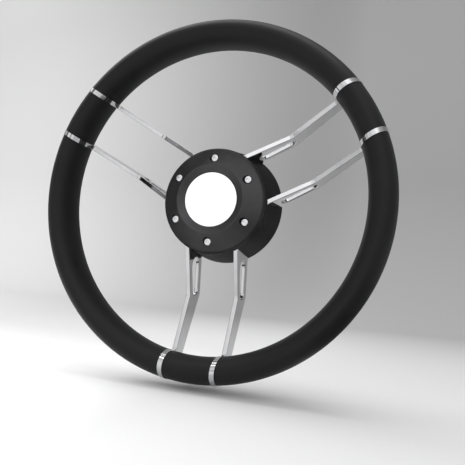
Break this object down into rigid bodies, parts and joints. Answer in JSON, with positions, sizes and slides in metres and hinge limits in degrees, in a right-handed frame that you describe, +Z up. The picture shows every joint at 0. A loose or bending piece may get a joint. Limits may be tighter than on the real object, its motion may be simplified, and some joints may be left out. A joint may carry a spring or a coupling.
{
  "type": "boat steering wheel",
  "caption": "Boat steering wheel with an oval black rim, three pairs of flat polished spokes that ring the rim, and a flared black hub with a plain polished cap.",
  "frame": {"origin": "centre of the tapered shaft seat at the hub's flat back", "axes": "+Z up as the wheel stands in use, +Y along the shaft towards the dash, driver at -Y"},
  "size_m": [0.35, 0.0828, 0.35],
  "materials": {
    "grip": "satin",
    "polished_steel": "polished",
    "plain_steel": "satin",
    "screw_steel": "satin",
    "black_hub": "satin",
    "black_plastic": "matte",
    "seal_rubber": "matte",
    "cap_metal": "polished"
  },
  "bodies": {
    "root": {"grip_top": "grip", "grip_left": "grip", "grip_right": "grip", "grip_left_short": "grip", "grip_right_short": "grip", "grip_bottom_short": "grip", "spoke_left_upper": "polished_steel", "spoke_left_lower": "polished_steel", "spoke_right_upper": "polished_steel", "spoke_right_lower": "polished_steel", "spoke_bottom_left": "polished_steel", "spoke_bottom_right": "polished_steel", "rim_core": "plain_steel", "hub_body": "black_hub", "hub_front_ring": "black_hub", "front_screws": "screw_steel", "bush_screws": "screw_steel", "shaft_bush": "plain_steel", "cap_cup": "black_plastic", "cap_o_ring": "seal_rubber", "cap_disc": "cap_metal"}
  },
  "joints": []
}
